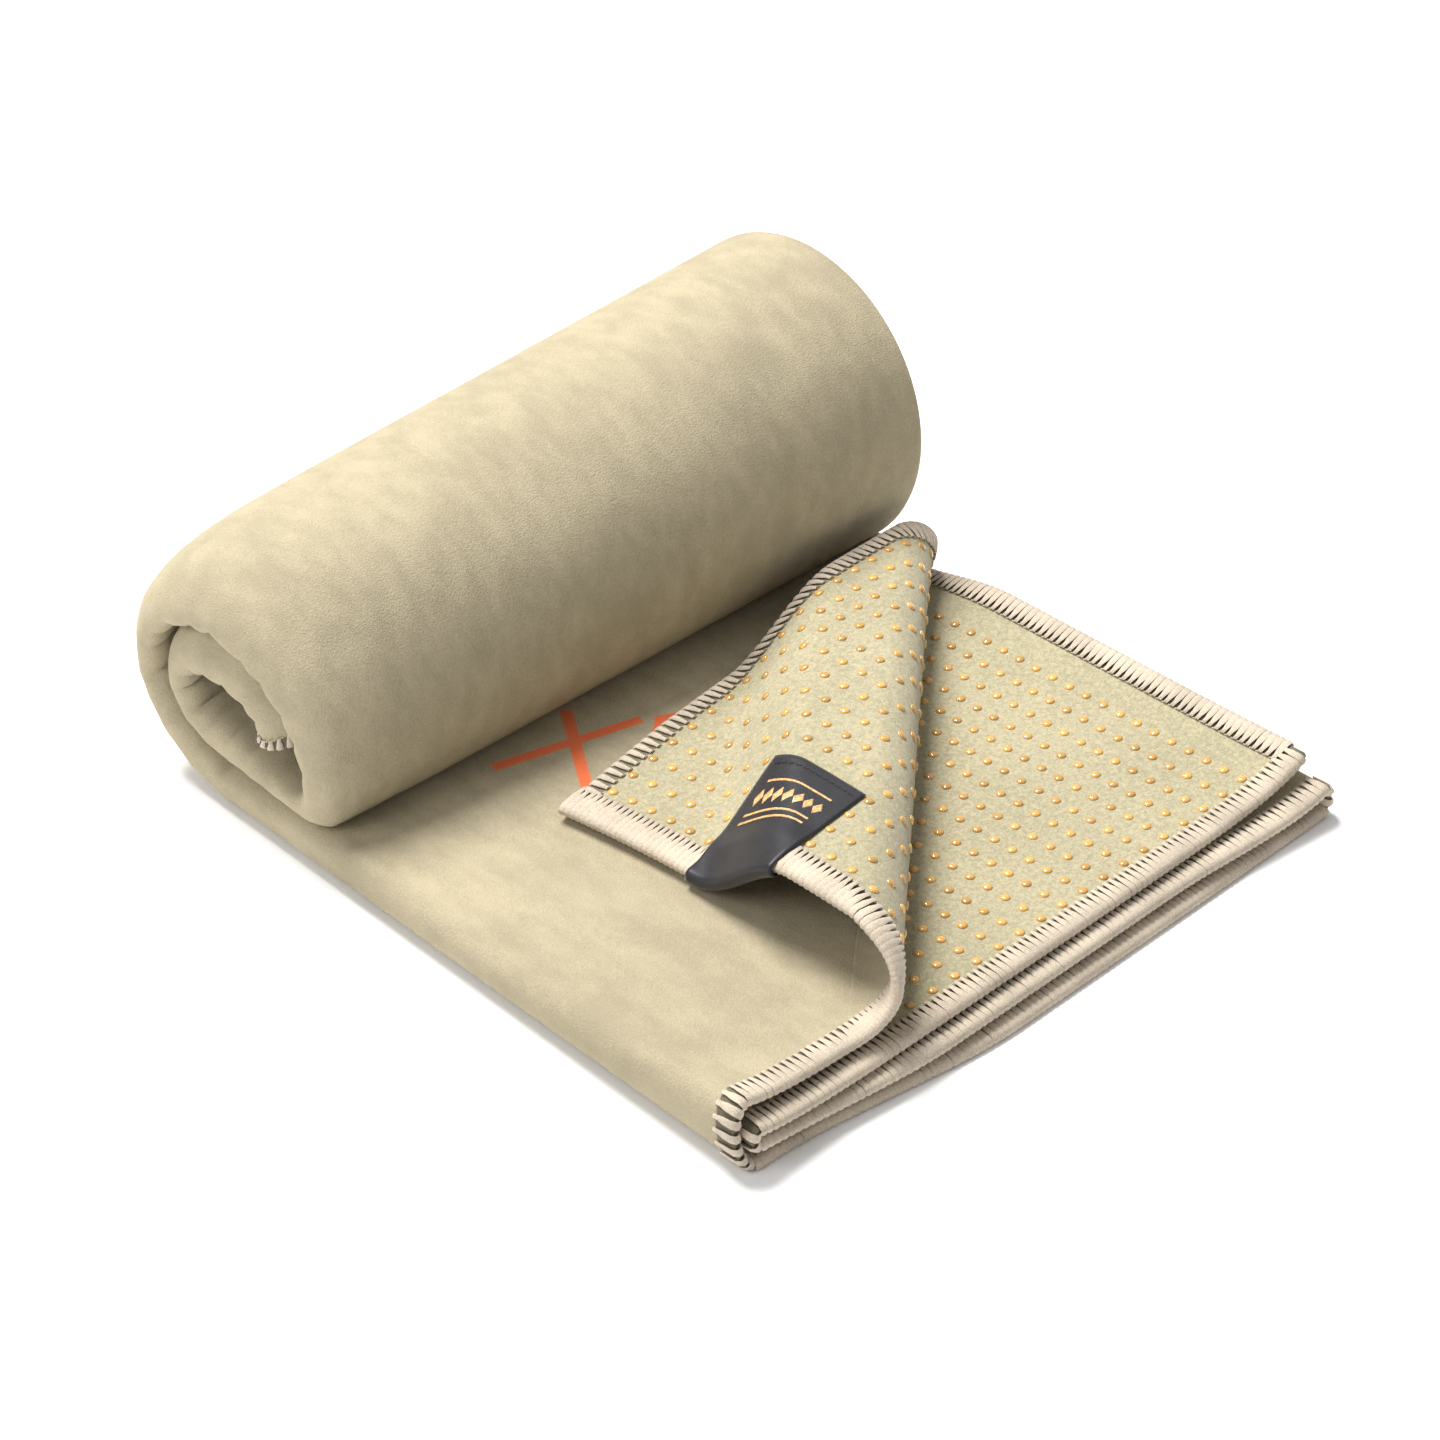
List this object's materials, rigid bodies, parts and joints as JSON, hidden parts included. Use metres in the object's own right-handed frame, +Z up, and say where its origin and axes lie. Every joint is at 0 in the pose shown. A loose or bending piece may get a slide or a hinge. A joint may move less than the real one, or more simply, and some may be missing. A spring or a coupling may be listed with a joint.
{
  "type": "towel",
  "caption": "Quick-dry microfibre towel folded in four, rolled from one end, front corner turned back to show its dotted underside and woven label.",
  "frame": {"origin": "middle of the base of the towel's box, on the surface it lies on", "axes": "+Z up; +Y from the open front hems to the roll; +X along the roll, from the folded side to the side of the free edges"},
  "size_m": [0.1532, 0.1802, 0.0692],
  "materials": {
    "cloth": "sage khaki velour nap, heathered grey-green underside with clear amber silicone dots",
    "thread": "beige overlock thread, matte",
    "label": "charcoal woven ribbon, slight satin sheen",
    "gold_thread": "gold sewing thread"
  },
  "bodies": {
    "towel": {"towel_cloth": "cloth", "front_hem": "thread", "inner_end_hem": "thread", "upper_side_hem": "thread", "inner_side_hem": "thread"},
    "corner_flap": {"corner_cloth": "cloth", "corner_end_hem": "thread", "corner_side_hem": "thread", "woven_label": "label", "label_stitching": "gold_thread"}
  },
  "joints": [
    {"name": "corner_fold", "type": "hinge", "parent": "towel", "child": "corner_flap", "pos_m": [-0.04421, -0.08753, 0.01905], "axis": [0.7542, 0.6562, -0.0247], "range_deg": [0, 90]}
  ]
}
